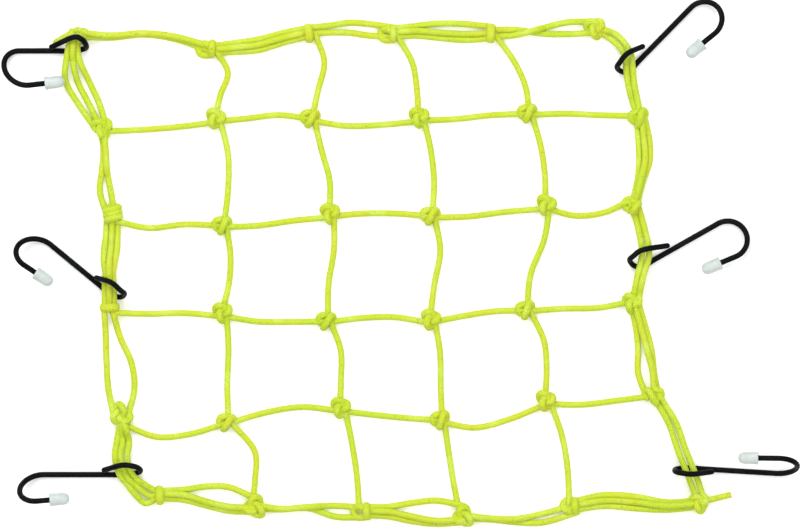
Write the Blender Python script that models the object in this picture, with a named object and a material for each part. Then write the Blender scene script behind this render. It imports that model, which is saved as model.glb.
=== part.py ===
"""A stretch net of knotted elastic cord with six coated wire hooks, lying on a floor.

The frame has +X along the net's top edge, +Y up the net as it lies, and +Z up from the
floor. The origin is on the floor under the middle of the whole part.
"""

import math

import bmesh
import bpy
from mathutils import Matrix, Vector

# Driving dimensions, in metres
MM = 0.001
CORD_WIDTH = 4.9 * MM
CORD_HEIGHT = 4.3 * MM
CORD_SIDES = 5
WIRE_RADIUS = 2.1 * MM
GAP = 0.3 * MM
SEW = 0.001 * MM

# How the cord lies
CORD_REST = CORD_HEIGHT / 2
CORD_PITCH = 5.0 * MM
STRAND_STEPS = 4
EDGE_STEPS = 5
HOOKED_STEPS = 8
HOOKED_SHARE = 0.7
CUT_STEPS = 3
KNOT_MIDDLE = 5.2 * MM
KNOT_REACH = 13 * MM
HOOK_LIFT = 2 * WIRE_RADIUS + 2 * GAP
LIFT_FLAT = 12 * MM
LIFT_SLOPE = 16 * MM

# The knots, in millimetres from the middle: six rows from the top edge down, each left to right
KNOT_ROWS = (
    ((-240.5, 172.5), (-143.3, 160.9), (-68.3, 172.5), (-7.5, 171.8), (67.9, 172.1), (145.5, 176.6)),
    ((-223.1, 101.6), (-138.3, 109.1), (-67.5, 109.1), (14.3, 109.9), (95.3, 112.9), (179.6, 109.9)),
    ((-215.3, 37.1), (-133.5, 28.9), (-52.5, 37.9), (22.5, 36.0), (109.5, 44.3), (174.8, 43.9)),
    ((-217.5, -34.5), (-133.1, -36.4), (-55.5, -42.8), (22.9, -41.6), (93.8, -34.5), (175.5, -29.6)),
    ((-208.5, -113.6), (-130.1, -118.9), (-44.6, -107.6), (30.0, -117.0), (109.1, -102.4), (191.3, -99.4)),
    ((-180.0, -173.6), (-110.3, -181.9), (-27.0, -185.6), (46.5, -188.2), (129.0, -181.9), (225.0, -178.9)),
)
ROW_LAST = len(KNOT_ROWS) - 1
COLUMN_LAST = len(KNOT_ROWS[0]) - 1

# How far each single strand bows aside, in millimetres, a third and two thirds along it.
# Upright strands: a row for each inner column, from the top down, bowing towards +X.
UPRIGHT_BOWS = (
    ((12.6, 5.3), (7.7, 6.2), (6.2, 5.0), (3.5, 1.6), (13.5, 7.9)),
    ((10.8, 6.2), (3.6, 4.8), (4.0, 0.9), (7.3, 4.0), (2.5, 0.6)),
    ((9.2, 5.6), (6.0, 5.8), (7.5, 3.0), (4.7, 2.9), (0.9, -0.8)),
    ((8.0, 7.9), (5.0, 3.8), (3.8, -1.1), (8.8, 5.9), (5.6, 3.4)),
)
# Cross strands: a row for each inner row, left to right, bowing towards +Y.
CROSS_BOWS = (
    ((-3.2, -3.7), (0.2, 2.4), (-6.2, -5.6), (-2.6, -0.7), (0.4, 0.3)),
    ((-7.7, -2.3), (-3.5, -2.7), (0.2, 0.8), (-3.5, -2.7), (-8.3, -5.8)),
    ((-2.6, -1.4), (-4.9, -3.1), (1.5, 1.7), (-0.3, 0.9), (-1.0, -2.0)),
    ((-14.6, -10.5), (3.2, 3.8), (-2.7, -2.0), (-10.9, -9.2), (-4.4, -2.2)),
)

# The edge bundles, a row for each section between two knots. Each strand has its offset from
# the straight line, in millimetres, at its start, a third, two thirds and its end.
TOP_EDGE = (
    ((-2.0, -0.5, 3.6, -1.5), (2.5, 4.5, 8.0, 2.5)),
    ((-3.0, -6.5, -5.5, -2.0), (2.2, 1.0, 1.7, 4.3), (-0.5, -2.8, -2.0, 1.0)),
    ((-0.5, -0.5, -1.0, -2.0), (4.2, 6.6, 7.9, 5.0)),
    ((-2.5, -2.7, -4.4, -3.0), (4.1, 7.4, 8.0, 5.3), (1.0, 2.1, 0.5, 0.5)),
    ((3.1, 1.8, -3.2, -3.9), (-2.0, -2.0, 4.5, 4.5)),
)
BOTTOM_EDGE = (
    ((-4.0, -6.0, -8.0, -5.0), (3.6, 7.4, 12.0, 7.0), (-0.9, -2.0, -4.0, -1.5)),
    ((-2.0, -4.0, -5.0, -3.0), (2.5, 1.2, 2.1, 3.0)),
    ((-3.5, -6.0, -8.5, -5.5), (3.1, 4.5, 9.5, 6.5), (-1.0, -3.0, -5.0, -2.0)),
    ((-4.0, -8.4, -9.2, -4.0), (1.0, -3.2, -3.0, 1.5), (-1.0, -6.0, -6.4, -1.5)),
    ((-3.0, -2.6, -4.3, -3.0), (3.5, 7.6, 1.2, 1.5), (0.5, 2.6, -1.6, -0.5)),
)
LEFT_EDGE = (
    ((-5.0, -17.6, -15.1, -5.0), (-3.0, -11.4, -7.6, -1.5), (-1.5, -4.0, 1.8, 2.5)),
    ((-2.5, -4.0, -7.3, -4.0), (2.5, 1.4, 0.8, 1.5)),
    ((-4.0, -6.5, -3.2, -3.5), (3.5, 4.2, 2.0, 3.5), (-0.5, -1.2, -0.6, 0.0)),
    ((-3.0, -5.6, -7.1, -4.0), (3.0, 9.0, 13.0, 5.0)),
)
RIGHT_EDGE = (
    ((-2.5, 1.1, 2.8, -1.5), (3.0, 9.2, 7.6, 2.5), (1.0, 6.0, 5.2, 0.5)),
    ((-2.0, 4.0, 2.5, -2.0), (3.0, 11.0, 8.0, 3.0)),
    ((-2.5, -3.2, -7.3, -3.5), (3.0, 3.6, 3.4, 3.0), (0.5, 0.2, 1.0, 0.5)),
    ((-2.5, -1.8, -0.8, -2.0), (2.5, 6.5, 5.6, 2.5)),
)

# The two corners that the edge cord only bends round: points from knot to knot, in
# millimetres, a row for each strand.
TOP_RIGHT_BEND = (
    ((156.0, 169.0), (162.6, 163.1), (167.4, 155.4), (168.8, 145.0), (170.2, 134.0), (175.0, 119.0)),
    ((159.6, 173.0), (167.2, 166.6), (172.9, 157.0), (174.4, 145.0), (175.6, 134.0), (178.6, 119.0)),
)
BOTTOM_LEFT_BEND = (
    ((-212.6, -132.4), (-215.8, -145.1), (-212.0, -157.9), (-204.6, -166.6), (-198.6, -174.6),
     (-190.0, -179.8)),
    ((-207.9, -132.4), (-210.2, -145.1), (-206.2, -157.9), (-197.6, -166.8), (-188.0, -174.0)),
    ((-203.2, -132.4), (-204.4, -145.1), (-200.6, -157.9), (-192.4, -165.0), (-184.5, -169.9)),
)
# The bight of cord over the top left corner, and the cut end past the bottom right knot
CORNER_BIGHT = ((-236.0, 173.0), (-243.0, 174.4), (-250.5, 170.4), (-258.0, 166.0))
CUT_END = ((225.0, -178.9), (236.0, -176.2), (248.2, -173.2))

# Knots, in millimetres. A crossing knot has three turns, an edge knot is a band with a loop.
CROSSING_KNOT = {"long": 7.4, "short": 7.4, "turn": 30.0}
UPRIGHT_EDGE_KNOT = {"long": 9.0, "short": 6.2, "turn": 0.0}
LEVEL_EDGE_KNOT = {"long": 9.0, "short": 6.2, "turn": 90.0}
CORNER_KNOT = {"long": 9.0, "short": 6.2, "turn": 45.0}
KNOT_SWAY = 12.0
SWAY_BY_ROW = 2.3
SWAY_BY_COLUMN = 1.7
KNOT_HEIGHT = 11.4
KNOT_FLAT = 0.8
KNOT_RIDGE = 0.15
KNOT_WIND = 1.2
KNOT_LOBES = 3
KNOT_AROUND = 10
KNOT_RINGS = 5

# Hooks: bent from one wire with an open eye at the cord and a crook at the free end
HOOK_COLUMNS = (
    "foot", "heading", "shank", "leg", "curl", "roll", "lean", "end", "over", "bend", "top",
)
# foot: where the shank passes under the bundle. heading: of the shank, in degrees from +X.
# shank and leg: straight lengths beside the crook. curl: 1 turns left, -1 right. roll: how far
# the crook stands up, in degrees. lean: how far the crook slants on along the shank, as a
# share of how far it has gone aside. end, over, bend: along and aside of the foot, for the
# wire's free end, its pass over the bundle and its inner bend. top: height of that pass.
HOOK_ROWS = (
    ((-246.0, 159.4), 180.0, 39.2, 11.7, 1, 23.5, -0.21, (15.0, -2.8), (-1.6, -9.8), (-11.0, -3.8), 16.0),
    ((-217.1, -22.9), 140.5, 58.2, 10.1, 1, 32.0, 0.24, (15.6, -2.8), (4.8, -7.4), (-8.2, -7.0), 18.4),
    ((-207.0, -158.3), 180.0, 60.1, 9.4, 1, 47.2, 0.21, (14.6, -3.6), (1.0, -7.4), (-12.4, -4.0), 16.6),
    ((171.8, 144.4), 45.7, 66.1, 11.5, -1, 22.0, 0.0, (19.9, 5.6), (8.0, 10.0), (-4.8, 8.2), 16.4),
    ((181.5, -2.3), 29.5, 65.4, 12.4, -1, 8.0, 0.04, (24.0, 4.4), (6.2, 10.8), (-5.8, 8.8), 14.4),
    ((216.8, -153.4), -3.5, 65.0, 14.8, 1, 65.0, 0.06, (16.8, -1.6), (2.4, -4.0), (-10.6, -2.8), 16.4),
)
CROOK_RADIUS = 14.2
CROOK_TURN = 187.0
WIRE_BEVEL = 2
CROOK_STEPS = 14
EYE_STEPS = 4
# The eye's outer shoulder lies this share of the way from its pass over the bundle to its
# inner bend, along and aside, and at this share of its top height. From the bend the wire comes
# down to the floor just short of it, and runs on level under the bundle.
SHOULDER_ALONG = 0.7
SHOULDER_ASIDE = 0.3
SHOULDER_HEIGHT = 0.92
LANDING_ALONG = 0.92
LANDING_ASIDE = 0.75
LANDING_HEIGHT = 0.6
FREE_END_CLEAR = 0.8
LEVEL_RUN = 12.0

# The soft cap on each hook's free end, as radius and depth from its mouth, in millimetres
CAP_BORE = 2.45
CAP_DEPTH = 12.0
CAP_END_GAP = 0.4
CAP_PROFILE = (
    (CAP_BORE, 0.0), (4.95, 0.0), (5.0, 1.0), (4.75, 2.6), (4.6, 10.0), (4.2, 12.2), (2.8, 14.3),
    (0.0, 15.2),
)
CAP_SIDES = 12
SOFT_EDGE_ANGLE = 40

# Finishes, as linear colours from the photographed ones
CORD_YELLOW = (0.64, 0.83, 0.035, 1.0)
VINYL_BLACK = (0.008, 0.009, 0.013, 1.0)
CAP_WHITE = (0.78, 0.84, 0.80, 1.0)


def clear_scene():
    for thing in list(bpy.data.objects):
        bpy.data.objects.remove(thing, do_unlink=True)


def finish(name, colour, roughness):
    material = bpy.data.materials.new(name)
    material.use_nodes = True
    shader = material.node_tree.nodes["Principled BSDF"]
    shader.inputs["Base Color"].default_value = colour
    shader.inputs["Roughness"].default_value = roughness
    return material


def place(name, data, material=None):
    thing = bpy.data.objects.new(name, data)
    bpy.context.scene.collection.objects.link(thing)
    if material:
        data.materials.append(material)
    return thing


def smooth_through(points, steps):
    """Points at even steps on a smooth curve through the given ones."""
    ends = [2 * points[0] - points[1], *points, 2 * points[-1] - points[-2]]
    spans = len(points) - 1
    found = []
    for step in range(steps + 1):
        at = step * spans / steps
        span = min(int(at), spans - 1)
        before, start, end, after = ends[span : span + 4]
        t = at - span
        found.append(
            0.5
            * (
                2 * start
                + (end - before) * t
                + (2 * before - 5 * start + 4 * end - after) * t**2
                + (3 * start - before - 3 * end + after) * t**3
            )
        )
    return found


def ease(share):
    share = max(0.0, min(1.0, share))
    return share * share * (3 - 2 * share)


def knot_at(row, column):
    return Vector(KNOT_ROWS[row][column]) * MM


def bowed(start, end, offsets, aside, steps):
    """A strand's plan from start to end, through its offsets at 0, 1/3, 2/3 and 1."""
    stations = [
        start.lerp(end, third / 3) + aside * (offset * MM)
        for third, offset in enumerate(offsets)
    ]
    return smooth_through(stations, steps)


def hook_lift(point):
    """How far a strand is held up where a hook's wire passes under it."""
    near = min((point - Vector(row[0]) * MM).length for row in HOOK_ROWS)
    return HOOK_LIFT * (1 - ease((near - LIFT_FLAT) / LIFT_SLOPE))


def laid(strands, lifted=True):
    """Heights for the strands of one bundle: a strand rides up on any that it lies over."""
    tubes = []
    for plan in strands:
        tube = []
        for step, point in enumerate(plan):
            height = CORD_REST + (hook_lift(point) if lifted else 0)
            for below in tubes:
                apart = (below[step].xy - point).length
                if apart < CORD_PITCH:
                    riding = math.sqrt(CORD_PITCH**2 - apart**2)
                    height = max(height, below[step].z + riding)
            tube.append(Vector((point.x, point.y, height)))
        tubes.append(tube)
    return tubes


def drawn_into_knots(tube, first=True, last=True):
    """The tube with its ends brought to the middle height of their knots."""
    risen = []
    for point in tube:
        height = point.z
        for held, end in ((first, tube[0]), (last, tube[-1])):
            if held:
                near = 1 - ease((point.xy - end.xy).length / KNOT_REACH)
                height += (KNOT_MIDDLE - height) * near
        risen.append(Vector((point.x, point.y, height)))
    return risen


def single_strands():
    """The strands between the inner knots, and from them to the edge knots."""
    tubes = []
    for column, bows in enumerate(UPRIGHT_BOWS, start=1):
        for row, (early, late) in enumerate(bows):
            offsets = (0.0, early, late, 0.0)
            ends = knot_at(row, column), knot_at(row + 1, column)
            plan = bowed(*ends, offsets, Vector((1, 0)), STRAND_STEPS)
            tubes += [drawn_into_knots(tube) for tube in laid([plan])]
    for row, bows in enumerate(CROSS_BOWS, start=1):
        for column, (early, late) in enumerate(bows):
            offsets = (0.0, early, late, 0.0)
            ends = knot_at(row, column), knot_at(row, column + 1)
            plan = bowed(*ends, offsets, Vector((0, 1)), STRAND_STEPS)
            tubes += [drawn_into_knots(tube) for tube in laid([plan])]
    return tubes


def steps_between(start, end):
    """More steps where a hook holds the strand up."""
    middle = start.lerp(end, 0.5)
    hooked = min((middle - Vector(row[0]) * MM).length for row in HOOK_ROWS)
    return HOOKED_STEPS if hooked < (end - start).length * HOOKED_SHARE else EDGE_STEPS


def edge_strands():
    """The bundles of two or three strands round the net's edge."""
    north, east = Vector((0, 1)), Vector((1, 0))
    sections = []
    for column in range(COLUMN_LAST):
        for row, table in ((0, TOP_EDGE), (ROW_LAST, BOTTOM_EDGE)):
            ends = knot_at(row, column), knot_at(row, column + 1)
            sections.append((ends, table[column], north))
    for row in range(ROW_LAST - 1):
        sections.append(((knot_at(row, 0), knot_at(row + 1, 0)), LEFT_EDGE[row], east))
        ends = knot_at(row + 1, COLUMN_LAST), knot_at(row + 2, COLUMN_LAST)
        sections.append((ends, RIGHT_EDGE[row], east))
    tubes = []
    for ends, strands, aside in sections:
        plans = [bowed(*ends, offsets, aside, steps_between(*ends)) for offsets in strands]
        tubes += [drawn_into_knots(tube) for tube in laid(plans)]
    for bend, start, end in (
        (TOP_RIGHT_BEND, knot_at(0, COLUMN_LAST), knot_at(1, COLUMN_LAST)),
        (BOTTOM_LEFT_BEND, knot_at(ROW_LAST - 1, 0), knot_at(ROW_LAST, 0)),
    ):
        plans = [
            smooth_through([start, *(Vector(p) * MM for p in points), end], HOOKED_STEPS)
            for points in bend
        ]
        tubes += [drawn_into_knots(tube) for tube in laid(plans)]
    return tubes


def loose_ends():
    bight = smooth_through([Vector(p) * MM for p in CORNER_BIGHT], EDGE_STEPS)
    cut = smooth_through([Vector(p) * MM for p in CUT_END], CUT_STEPS)
    return [
        drawn_into_knots(laid([bight], lifted=False)[0], last=False),
        drawn_into_knots(laid([cut])[0], last=False),
    ]


def cord_section():
    """The cord's cross-section, with a flat side down, as the guide that tubes follow."""
    curve = bpy.data.curves.new("cord_section", "CURVE")
    spline = curve.splines.new("POLY")
    spline.points.add(CORD_SIDES - 1)
    spline.use_cyclic_u = True
    turns = [math.pi * (2 * side + 1) / CORD_SIDES for side in range(CORD_SIDES)]
    widest = max(math.sin(turn) for turn in turns)
    tallest = max(1 - math.cos(turn) for turn in turns) - min(1 - math.cos(turn) for turn in turns)
    for turn, point in zip(turns, spline.points):
        across = math.sin(turn) / widest * CORD_WIDTH / 2
        up = (math.cos(turns[0]) - math.cos(turn)) / tallest * CORD_HEIGHT - CORD_REST
        point.co = (across, up, 0, 1)
    guide = place("cord_section", curve)
    guide.hide_render = True
    guide.display_type = "WIRE"
    return guide


def sewn(mesh):
    """The mesh with its end caps joined to its sides and its faces pointing out."""
    bm = bmesh.new()
    bm.from_mesh(mesh)
    bmesh.ops.remove_doubles(bm, verts=bm.verts, dist=SEW)
    bmesh.ops.recalc_face_normals(bm, faces=bm.faces)
    bm.to_mesh(mesh)
    bm.free()
    return mesh


def tube_mesh(name, points, section):
    """A closed tube of the section along the points."""
    curve = bpy.data.curves.new(name, "CURVE")
    curve.dimensions = "3D"
    curve.twist_mode = "Z_UP"
    curve.bevel_mode = "OBJECT"
    curve.bevel_object = section
    curve.use_fill_caps = True
    spline = curve.splines.new("POLY")
    spline.points.add(len(points) - 1)
    for point, place_at in zip(spline.points, points):
        point.co = (*place_at, 1)
    thing = place(name, curve)
    evaluated = thing.evaluated_get(bpy.context.evaluated_depsgraph_get())
    mesh = bpy.data.meshes.new_from_object(evaluated)
    bpy.data.objects.remove(thing, do_unlink=True)
    return sewn(mesh)


def knot_mesh(name, middle, form, turn):
    """A knot as a ridged lump: its turns are lobes, wound a little as they rise."""
    bm = bmesh.new()
    bmesh.ops.create_uvsphere(bm, u_segments=KNOT_AROUND, v_segments=KNOT_RINGS, radius=1)
    spin = Matrix.Rotation(math.radians(turn), 3, "Z")
    for vert in bm.verts:
        around = math.atan2(vert.co.y, vert.co.x)
        ridge = 1 + KNOT_RIDGE * math.cos(KNOT_LOBES * around + KNOT_WIND * vert.co.z)
        across = Vector((vert.co.x * form["long"], vert.co.y * form["short"], 0)) * ridge
        up = KNOT_HEIGHT * max(0.0, vert.co.z + KNOT_FLAT) / (1 + KNOT_FLAT)
        vert.co = (spin @ across + Vector((0, 0, up))) * MM
        vert.co += Vector((middle.x, middle.y, 0))
    mesh = bpy.data.meshes.new(name)
    bm.to_mesh(mesh)
    bm.free()
    return mesh


def knot_meshes():
    meshes = []
    for row in range(ROW_LAST + 1):
        for column in range(COLUMN_LAST + 1):
            level = row in (0, ROW_LAST)
            upright = column in (0, COLUMN_LAST)
            form = CROSSING_KNOT
            if level:
                form = CORNER_KNOT if upright else LEVEL_EDGE_KNOT
            elif upright:
                form = UPRIGHT_EDGE_KNOT
            sway = KNOT_SWAY * math.sin(SWAY_BY_ROW * row + SWAY_BY_COLUMN * column)
            name = f"knot_{row}_{column}"
            meshes.append(knot_mesh(name, knot_at(row, column), form, form["turn"] + sway))
    return meshes


def add_net(material):
    """All strands and knots as one closed body."""
    section = cord_section()
    paths = single_strands() + edge_strands() + loose_ends()
    meshes = [tube_mesh(f"strand_{n}", path, section) for n, path in enumerate(paths)]
    meshes += knot_meshes()
    pieces = bpy.data.collections.new("net_pieces")
    for mesh in meshes[:-1]:
        piece = bpy.data.objects.new(mesh.name, mesh)
        piece.hide_render = True
        piece.display_type = "WIRE"
        pieces.objects.link(piece)
    bpy.context.scene.collection.children.link(pieces)
    pieces.hide_render = True
    net = place("net", meshes[-1], material)
    union = net.modifiers.new("fused at the knots", "BOOLEAN")
    union.operation = "UNION"
    union.operand_type = "COLLECTION"
    union.collection = pieces
    union.solver = "EXACT"
    return net


def hook_route(hook):
    """The wire's middle line, from the free end of its eye to the end inside the cap."""
    heading = math.radians(hook["heading"])
    along = Vector((math.cos(heading), math.sin(heading), 0))
    left = Vector((-along.y, along.x, 0))
    foot = Vector((*hook["foot"], 0)) + Vector((0, 0, WIRE_RADIUS / MM))

    def near_foot(ahead, aside, height):
        return foot + along * ahead + left * aside + Vector((0, 0, height - foot.z))

    low = foot.z
    top = hook["top"]
    (end, end_aside), (over, over_aside), (bend, bend_aside) = hook["end"], hook["over"], hook["bend"]
    eye = [
        near_foot(end, end_aside, low + 2 * WIRE_RADIUS / MM + FREE_END_CLEAR),
        near_foot(over, over_aside, top),
        near_foot(
            over + (bend - over) * SHOULDER_ALONG,
            over_aside + (bend_aside - over_aside) * SHOULDER_ASIDE,
            top * SHOULDER_HEIGHT,
        ),
        near_foot(bend, bend_aside, (top + low) / 2),
        near_foot(bend * LANDING_ALONG, bend_aside * LANDING_ASIDE, low + LANDING_HEIGHT),
        near_foot(0, 0, low),
        near_foot(LEVEL_RUN, 0, low),
    ]
    route = smooth_through(eye, EYE_STEPS * (len(eye) - 1))
    for point in route:
        point.z = max(point.z, low)
    route.append(near_foot(hook["shank"] / 2, 0, low))
    roll = math.radians(hook["roll"])
    side = left * (hook["curl"] * math.cos(roll)) + Vector((0, 0, math.sin(roll)))
    start = near_foot(hook["shank"], 0, low)
    for step in range(CROOK_STEPS + 1):
        angle = math.radians(CROOK_TURN) * step / CROOK_STEPS
        aside = CROOK_RADIUS * (1 - math.cos(angle))
        ahead = CROOK_RADIUS * math.sin(angle) + hook["lean"] * aside
        route.append(start + along * ahead + side * aside)
    back = along * (math.cos(angle) + hook["lean"] * math.sin(angle)) + side * math.sin(angle)
    back.normalize()
    mouth = route[-1] + back * hook["leg"]
    route += [mouth, mouth + back * (CAP_DEPTH - CAP_END_GAP)]
    return [point * MM for point in route], mouth * MM, back


def add_hook(name, route, material):
    curve = bpy.data.curves.new(name, "CURVE")
    curve.dimensions = "3D"
    curve.bevel_depth = WIRE_RADIUS
    curve.bevel_resolution = WIRE_BEVEL
    curve.use_fill_caps = True
    spline = curve.splines.new("POLY")
    spline.points.add(len(route) - 1)
    spline.use_smooth = True
    for point, place_at in zip(spline.points, route):
        point.co = (*place_at, 1)
    return place(name, curve, material)


def add_cap(name, mouth, direction, material):
    """The cap turned about the wire's end, from its mouth to its round closed end."""
    bm = bmesh.new()
    outline = [*CAP_PROFILE, (0.0, CAP_DEPTH), (CAP_BORE, CAP_DEPTH)]
    verts = [bm.verts.new((radius * MM, 0, depth * MM)) for radius, depth in outline]
    edges = [bm.edges.new(pair) for pair in zip(verts, [*verts[1:], verts[0]])]
    axis_edge = edges[len(CAP_PROFILE) - 1]
    edges.remove(axis_edge)
    bm.edges.remove(axis_edge)
    bmesh.ops.spin(
        bm, geom=verts + edges, axis=(0, 0, 1), cent=(0, 0, 0),
        steps=CAP_SIDES, angle=2 * math.pi, use_merge=True,
    )
    mesh = bpy.data.meshes.new(name)
    bm.to_mesh(mesh)
    bm.free()
    sewn(mesh).shade_smooth()
    mesh.set_sharp_from_angle(angle=math.radians(SOFT_EDGE_ANGLE))
    cap = place(name, mesh, material)
    cap.location = mouth
    cap.rotation_mode = "QUATERNION"
    cap.rotation_quaternion = Vector((0, 0, 1)).rotation_difference(direction)
    return cap


def build():
    clear_scene()
    cord = finish("elastic_cord", CORD_YELLOW, 0.7)
    vinyl = finish("vinyl_coated_wire", VINYL_BLACK, 0.4)
    soft_cap = finish("soft_cap", CAP_WHITE, 0.45)
    add_net(cord)
    for number, row in enumerate(HOOK_ROWS, start=1):
        hook = dict(zip(HOOK_COLUMNS, row))
        route, mouth, direction = hook_route(hook)
        add_hook(f"hook_{number}", route, vinyl)
        add_cap(f"cap_{number}", mouth, direction, soft_cap)


build()
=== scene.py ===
"""A stretch net of knotted elastic cord with six coated wire hooks, lying on a pale floor."""

import math

import bmesh
import bpy
from mathutils import Matrix, Vector


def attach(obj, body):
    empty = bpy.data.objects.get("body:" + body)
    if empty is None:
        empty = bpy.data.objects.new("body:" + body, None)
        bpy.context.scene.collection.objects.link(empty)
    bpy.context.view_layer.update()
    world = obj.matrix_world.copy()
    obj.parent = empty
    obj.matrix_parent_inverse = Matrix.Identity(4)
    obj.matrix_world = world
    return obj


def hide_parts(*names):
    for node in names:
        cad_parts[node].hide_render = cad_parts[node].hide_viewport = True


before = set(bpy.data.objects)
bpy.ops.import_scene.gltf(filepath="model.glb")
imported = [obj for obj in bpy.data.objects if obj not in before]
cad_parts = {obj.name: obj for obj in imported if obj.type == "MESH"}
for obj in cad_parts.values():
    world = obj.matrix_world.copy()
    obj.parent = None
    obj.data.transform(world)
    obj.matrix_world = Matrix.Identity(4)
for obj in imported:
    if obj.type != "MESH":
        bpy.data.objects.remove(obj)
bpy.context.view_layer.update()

# The strands of the mesh
# One shock cord is tied into squares: rubber threads under a tight cover braided from dyed
# polyester yarn. It is 4.6 mm thick, springy, and bows a little between its knots when slack.

MM = 0.001
CORD_RADIUS = 2.3 * MM
CORD_SIDES = 14
STRAND_STEPS = 36

# The knots, in millimetres from the middle: six rows from the top edge down, each left to right
KNOT_ROWS = (
    ((-240.5, 172.5), (-143.3, 160.9), (-68.3, 172.5), (-7.5, 171.8), (67.9, 172.1), (145.5, 176.6)),
    ((-223.1, 101.6), (-138.3, 109.1), (-67.5, 109.1), (14.3, 109.9), (95.3, 112.9), (179.6, 109.9)),
    ((-215.3, 37.1), (-133.5, 28.9), (-52.5, 37.9), (22.5, 36.0), (109.5, 44.3), (174.8, 43.9)),
    ((-217.5, -34.5), (-133.1, -36.4), (-55.5, -42.8), (22.9, -41.6), (93.8, -34.5), (175.5, -29.6)),
    ((-208.5, -113.6), (-130.1, -118.9), (-44.6, -107.6), (30.0, -117.0), (109.1, -102.4), (191.3, -99.4)),
    ((-180.0, -173.6), (-110.3, -181.9), (-27.0, -185.6), (46.5, -188.2), (129.0, -181.9), (225.0, -178.9)),
)
ROW_LAST = len(KNOT_ROWS) - 1
COLUMN_LAST = len(KNOT_ROWS[0]) - 1

# How far each single strand bows aside, in millimetres, a third and two thirds along it.
# Upright strands: a row for each inner column, from the top down, bowing towards +X.
UPRIGHT_BOWS = (
    ((12.6, 5.3), (7.7, 6.2), (6.2, 5.0), (3.5, 1.6), (14.2, 8.3)),
    ((11.3, 6.4), (3.6, 4.8), (4.0, 0.9), (7.3, 4.0), (2.5, 0.6)),
    ((9.2, 5.6), (6.0, 5.8), (7.5, 3.0), (4.7, 2.9), (0.9, -0.8)),
    ((8.0, 7.9), (5.0, 3.8), (3.8, -1.1), (8.8, 5.9), (5.6, 3.4)),
)
# Cross strands: a row for each inner row, left to right, bowing towards +Y.
CROSS_BOWS = (
    ((-3.9, -4.2), (-0.4, 2.2), (-6.2, -5.6), (-2.6, -0.7), (0.4, 0.3)),
    ((-7.7, -2.3), (-3.5, -2.7), (0.2, 0.8), (-3.5, -2.7), (-8.3, -5.8)),
    ((-2.6, -1.4), (-4.9, -3.1), (1.5, 1.7), (-0.3, 0.9), (-1.0, -2.0)),
    ((-14.6, -10.5), (3.2, 3.8), (-2.7, -2.0), (-10.9, -9.2), (-4.4, -2.2)),
)
# The crossing knots are tied by turns in two ways, and the strands go into them a little aside:
# upright strands towards +X at their top and bottom ends, cross strands towards +Y.
WOUND = {"upright_from": 3.0, "upright_to": -0.5, "cross_from": -2.8, "cross_to": -3.2}
TUCKED = {"upright_from": 3.0, "upright_to": 1.5, "cross_from": -1.6, "cross_to": -0.6}

# Where each single strand goes into its edge knot, in millimetres from the knot's middle
GOES_IN = {
    (0, 1): (4.5, -1.0), (0, 2): (4.8, -1.0), (0, 3): (5.0, -1.0), (0, 4): (3.5, -1.0),
    (5, 1): (-0.5, 2.0), (5, 2): (-3.7, 2.0), (5, 3): (-2.0, 2.0), (5, 4): (-2.4, 2.0),
    (1, 0): (2.0, -2.5), (2, 0): (3.0, -5.6), (3, 0): (2.0, -2.4), (4, 0): (3.5, -7.9),
    (1, 5): (-2.0, 0.6), (2, 5): (-4.0, 2.5), (3, 5): (-3.0, 0.8), (4, 5): (-3.0, 0.0),
}

# The cord is drawn up to the middle of each knot as it goes in
KNOT_MIDDLE = 5.0 * MM
KNOT_REACH = 13 * MM

# Where the hooks' wires pass under the edge, in millimetres. They hold it up off the floor.
HOOK_FEET = (
    (-246.0, 159.4), (-217.1, -22.9), (-207.0, -158.3), (171.8, 144.4), (181.5, -2.3), (216.8, -153.4),
)
HOOK_LIFT = 4.8 * MM
LIFT_FLAT = 12 * MM
LIFT_SLOPE = 16 * MM

# Dyed polyester braid: satin yarns in small diamonds, fluorescent yellow green, paler and warmer
# in patches where the cover is stretched. Painted highlights make it paler still in small patches,
# and painted shade darkens it in the gaps between yarns.
YARN_MAIN = "#C2D836"
# The colour of the painted highlights, mixed in at small patches placed at random
YARN_PAINTED_HIGHLIGHT = "#CEE252"
YARN_WARM = "#CBD738"
# The olive of the painted shade in the gaps between yarns, also used for the dark ticks
YARN_GAP_SHADE_AND_TICKS = "#87991A"
YARN_SHEEN = "#F4FFB0"
# Eight yarns run each way round the cord, and meet again every 2.4 millimetres along it
PLAITS_ROUND = 8
PLAIT_LENGTH = 2.4
BRAID_RELIEF = 0.25 * MM
PATCH_SIZE = 45 * MM
# The size of the painted highlight patches
PAINTED_HIGHLIGHT_SIZE = 15 * MM
TICK_SIZE = 1.4 * MM

# How the rounded end of a cord or wire closes: the slopes of its rings, in degrees
DOME_SLOPES = (25, 50, 72)


def linear(hex_colour):
    """An sRGB hex colour as the linear one that a shader takes."""
    parts = [int(hex_colour[at : at + 2], 16) / 255 for at in (1, 3, 5)]
    return (*[p / 12.92 if p <= 0.04045 else ((p + 0.055) / 1.055) ** 2.4 for p in parts], 1.0)


def add_node(tree, kind, inputs=None, **settings):
    """A node with its settings, and each input linked where it is given a socket, or else set."""
    node = tree.nodes.new(kind)
    for name, value in settings.items():
        setattr(node, name, value)
    for name, value in (inputs or {}).items():
        if isinstance(value, bpy.types.NodeSocket):
            tree.links.new(value, node.inputs[name])
        else:
            node.inputs[name].default_value = value
    return node


def bare_material(name):
    """A new material and its node tree, with no nodes yet."""
    material = bpy.data.materials.new(name)
    material.use_nodes = True
    material.node_tree.nodes.clear()
    return material, material.node_tree


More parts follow.
